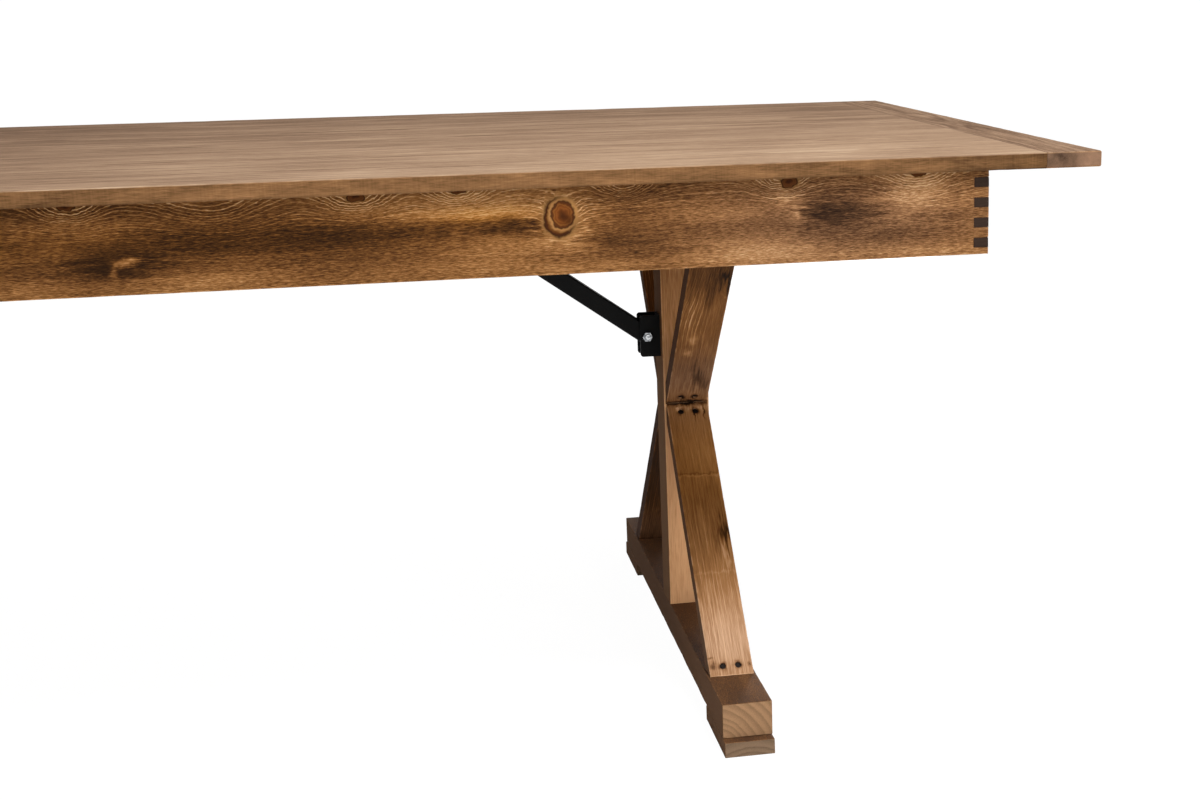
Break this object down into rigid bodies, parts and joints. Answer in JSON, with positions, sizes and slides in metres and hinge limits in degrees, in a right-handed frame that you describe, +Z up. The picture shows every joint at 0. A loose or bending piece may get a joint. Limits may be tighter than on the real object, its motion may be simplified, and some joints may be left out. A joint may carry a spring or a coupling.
{
  "type": "sawbuck table",
  "caption": "Rectangular wooden dining table with breadboard ends, a finger-jointed apron and hourglass trestle legs that fold flat under the top, each held by a steel strut.",
  "frame": {"origin": "on the floor, under the middle of the top", "axes": "+X along the table, +Y across it towards the back, +Z up"},
  "size_m": [2.438, 1.016, 0.762],
  "materials": {
    "black_steel": "matt black paint",
    "dark_screw_steel": "dark, phosphated",
    "hinge_steel": "dull plated",
    "stained_apron": "satin wax over stain",
    "stained_frame": "satin wax over stain",
    "weathered_top": "matt, worn",
    "zinc_steel": "zinc plated"
  },
  "bodies": {
    "table_top": {"top_plank_1": "weathered_top", "top_plank_2": "weathered_top", "top_plank_3": "weathered_top", "top_plank_4": "weathered_top", "top_plank_5": "weathered_top", "breadboard_left": "weathered_top", "breadboard_right": "weathered_top", "apron_front": "stained_apron", "apron_back": "stained_apron", "apron_left": "stained_apron", "apron_right": "stained_apron", "hinge_batten_left": "stained_frame", "hinge_batten_right": "stained_frame", "hinge_fixed_leaves_left": "hinge_steel", "hinge_fixed_leaves_right": "hinge_steel", "hinge_pins_left": "hinge_steel", "hinge_pins_right": "hinge_steel", "keeper_bracket_left": "black_steel", "keeper_bracket_right": "black_steel", "top_hardware_screws_left": "hinge_steel", "top_hardware_screws_right": "hinge_steel"},
    "left_leg": {"foot_beam_left": "stained_frame", "foot_pad_front_left": "stained_frame", "foot_pad_back_left": "stained_frame", "post_left": "stained_frame", "arm_lower_front_left": "stained_frame", "arm_lower_back_left": "stained_frame", "arm_upper_front_left": "stained_frame", "arm_upper_back_left": "stained_frame", "top_rail_left": "stained_frame", "arm_screws_left": "dark_screw_steel", "hinge_leg_leaves_left": "hinge_steel", "leg_bracket_left": "black_steel", "pivot_bolt_left": "zinc_steel", "pivot_nut_left": "zinc_steel", "leg_hardware_screws_left": "hinge_steel"},
    "left_strut": {"strut_left": "black_steel", "wing_bolt_left": "zinc_steel", "wing_nut_left": "zinc_steel"},
    "right_leg": {"foot_beam_right": "stained_frame", "foot_pad_front_right": "stained_frame", "foot_pad_back_right": "stained_frame", "post_right": "stained_frame", "arm_lower_front_right": "stained_frame", "arm_lower_back_right": "stained_frame", "arm_upper_front_right": "stained_frame", "arm_upper_back_right": "stained_frame", "top_rail_right": "stained_frame", "arm_screws_right": "dark_screw_steel", "hinge_leg_leaves_right": "hinge_steel", "leg_bracket_right": "black_steel", "pivot_bolt_right": "zinc_steel", "pivot_nut_right": "zinc_steel", "leg_hardware_screws_right": "hinge_steel"},
    "right_strut": {"strut_right": "black_steel", "wing_bolt_right": "zinc_steel", "wing_nut_right": "zinc_steel"}
  },
  "joints": [
    {"name": "right_leg_fold", "type": "hinge", "parent": "table_top", "child": "right_leg", "pos_m": [0.7455, 0, 0.71025], "axis": [0, 1, 0], "range_deg": [0, 90]},
    {"name": "right_strut_swing", "type": "hinge", "parent": "right_leg", "child": "right_strut", "pos_m": [0.731, 0, 0.472], "axis": [0, -1, 0], "range_deg": [0, 125.8]},
    {"name": "left_leg_fold", "type": "hinge", "parent": "table_top", "child": "left_leg", "pos_m": [-0.7455, 0, 0.71025], "axis": [0, -1, 0], "range_deg": [0, 90]},
    {"name": "left_strut_swing", "type": "hinge", "parent": "left_leg", "child": "left_strut", "pos_m": [-0.731, 0, 0.472], "axis": [0, 1, 0], "range_deg": [0, 125.8]}
  ],
  "couplings": [
    {"joint": "right_strut_swing", "follows": "right_leg_fold", "ratio": 1.3978},
    {"joint": "left_strut_swing", "follows": "left_leg_fold", "ratio": 1.3978}
  ]
}
